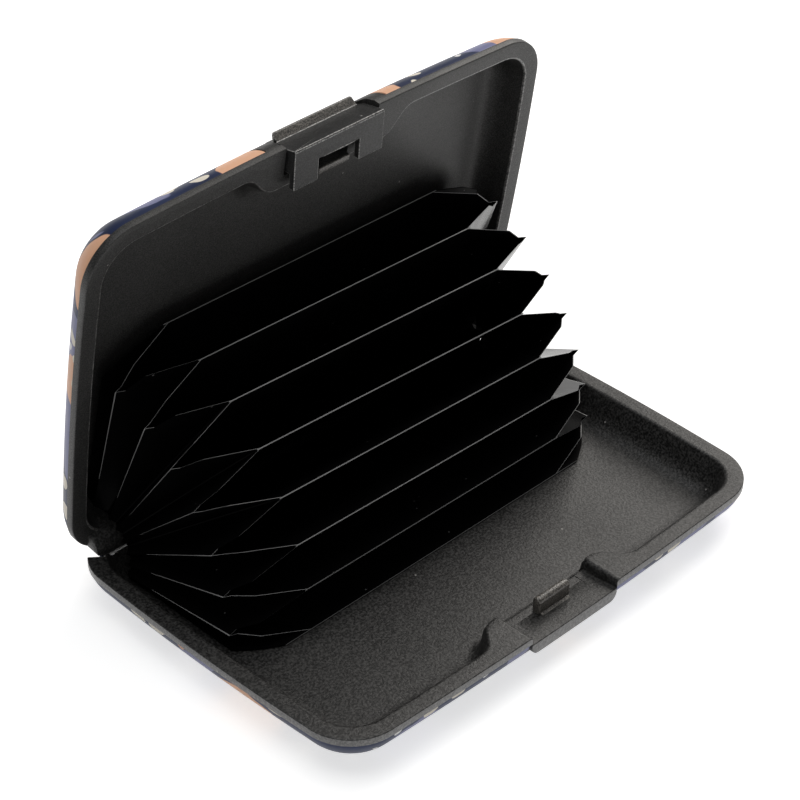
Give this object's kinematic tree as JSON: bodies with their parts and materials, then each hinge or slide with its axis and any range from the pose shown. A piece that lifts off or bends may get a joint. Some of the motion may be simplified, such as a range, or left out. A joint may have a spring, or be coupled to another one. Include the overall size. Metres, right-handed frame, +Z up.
{
  "type": "hard-shell card wallet",
  "caption": "Hinged aluminium-clad case with a fanning film pocket accordion for cards and a rocker latch at the front edge.",
  "frame": {"origin": "middle of the tray's flat underside", "axes": "+Z up out of the tray, +X along the hinge, +Y from the front edge to the hinge"},
  "size_m": [0.11, 0.08, 0.0804],
  "materials": {
    "frame_plastic": "moulded black plastic with a fine satin grain",
    "latch_plastic": "moulded black plastic with a speckled bronze-grey thumb ridge",
    "printed_skin": "pressed aluminium sheet, printed navy with peach, cream and light blue figures under a satin lacquer",
    "film": "glossy black polypropylene film",
    "steel": "bright steel wire and strip"
  },
  "bodies": {
    "tray": {"tray_frame": "frame_plastic", "tray_skin": "printed_skin", "hinge_pin_left": "steel", "hinge_pin_right": "steel", "leaf_h": "film", "root_fold_gh": "film", "gusset_gh_left": "film", "gusset_gh_right": "film"},
    "lid": {"lid_frame": "frame_plastic", "lid_skin": "printed_skin", "latch_pin": "steel", "latch_spring": "steel", "leaf_a": "film"},
    "latch": {"latch": "latch_plastic"},
    "pocket_g": {"leaf_g": "film", "root_fold_fg": "film", "gusset_fg_left": "film", "gusset_fg_right": "film"},
    "pocket_f": {"leaf_f": "film", "root_fold_ef": "film", "gusset_ef_left": "film", "gusset_ef_right": "film"},
    "pocket_e": {"leaf_e": "film", "root_fold_de": "film", "gusset_de_left": "film", "gusset_de_right": "film"},
    "pocket_d": {"leaf_d": "film", "root_fold_cd": "film", "gusset_cd_left": "film", "gusset_cd_right": "film"},
    "pocket_c": {"leaf_c": "film", "root_fold_bc": "film", "gusset_bc_left": "film", "gusset_bc_right": "film"},
    "pocket_b": {"leaf_b": "film", "root_fold_ab": "film", "gusset_ab_left": "film", "gusset_ab_right": "film"}
  },
  "joints": [
    {"name": "lid_hinge", "type": "hinge", "parent": "tray", "child": "lid", "pos_m": [0, 0.0346, 0.009], "axis": [-1, 0, 0], "range_deg": [-81, 9], "deforming": ["gusset_gh_left", "gusset_gh_right", "gusset_fg_left", "gusset_fg_right", "gusset_ef_left", "gusset_ef_right", "gusset_de_left", "gusset_de_right", "gusset_cd_left", "gusset_cd_right", "gusset_bc_left", "gusset_bc_right", "gusset_ab_left", "gusset_ab_right", "root_fold_gh", "root_fold_fg", "root_fold_ef", "root_fold_de", "root_fold_cd", "root_fold_bc", "root_fold_ab"]},
    {"name": "latch_pivot", "type": "hinge", "parent": "lid", "child": "latch", "pos_m": [0, 0.02621, 0.07733], "axis": [-1, 0, 0], "range_deg": [-4.5, 1.5], "stiffness_Nm_per_rad": 0.05},
    {"name": "fold_g", "type": "hinge", "parent": "tray", "child": "pocket_g", "pos_m": [0, 0.0346, 0.009], "axis": [-1, 0, 0], "range_deg": [-11.58, 1.29]},
    {"name": "fold_f", "type": "hinge", "parent": "tray", "child": "pocket_f", "pos_m": [0, 0.0346, 0.009], "axis": [-1, 0, 0], "range_deg": [-23.15, 2.58]},
    {"name": "fold_e", "type": "hinge", "parent": "tray", "child": "pocket_e", "pos_m": [0, 0.0346, 0.009], "axis": [-1, 0, 0], "range_deg": [-34.72, 3.86]},
    {"name": "fold_d", "type": "hinge", "parent": "tray", "child": "pocket_d", "pos_m": [0, 0.0346, 0.009], "axis": [-1, 0, 0], "range_deg": [-46.29, 5.15]},
    {"name": "fold_c", "type": "hinge", "parent": "tray", "child": "pocket_c", "pos_m": [0, 0.0346, 0.009], "axis": [-1, 0, 0], "range_deg": [-57.86, 6.43]},
    {"name": "fold_b", "type": "hinge", "parent": "tray", "child": "pocket_b", "pos_m": [0, 0.0346, 0.009], "axis": [-1, 0, 0], "range_deg": [-69.43, 7.72]}
  ],
  "couplings": [
    {"joint": "fold_g", "follows": "lid_hinge", "ratio": 0.14286},
    {"joint": "fold_f", "follows": "lid_hinge", "ratio": 0.28571},
    {"joint": "fold_e", "follows": "lid_hinge", "ratio": 0.42857},
    {"joint": "fold_d", "follows": "lid_hinge", "ratio": 0.57143},
    {"joint": "fold_c", "follows": "lid_hinge", "ratio": 0.71429},
    {"joint": "fold_b", "follows": "lid_hinge", "ratio": 0.85714}
  ]
}
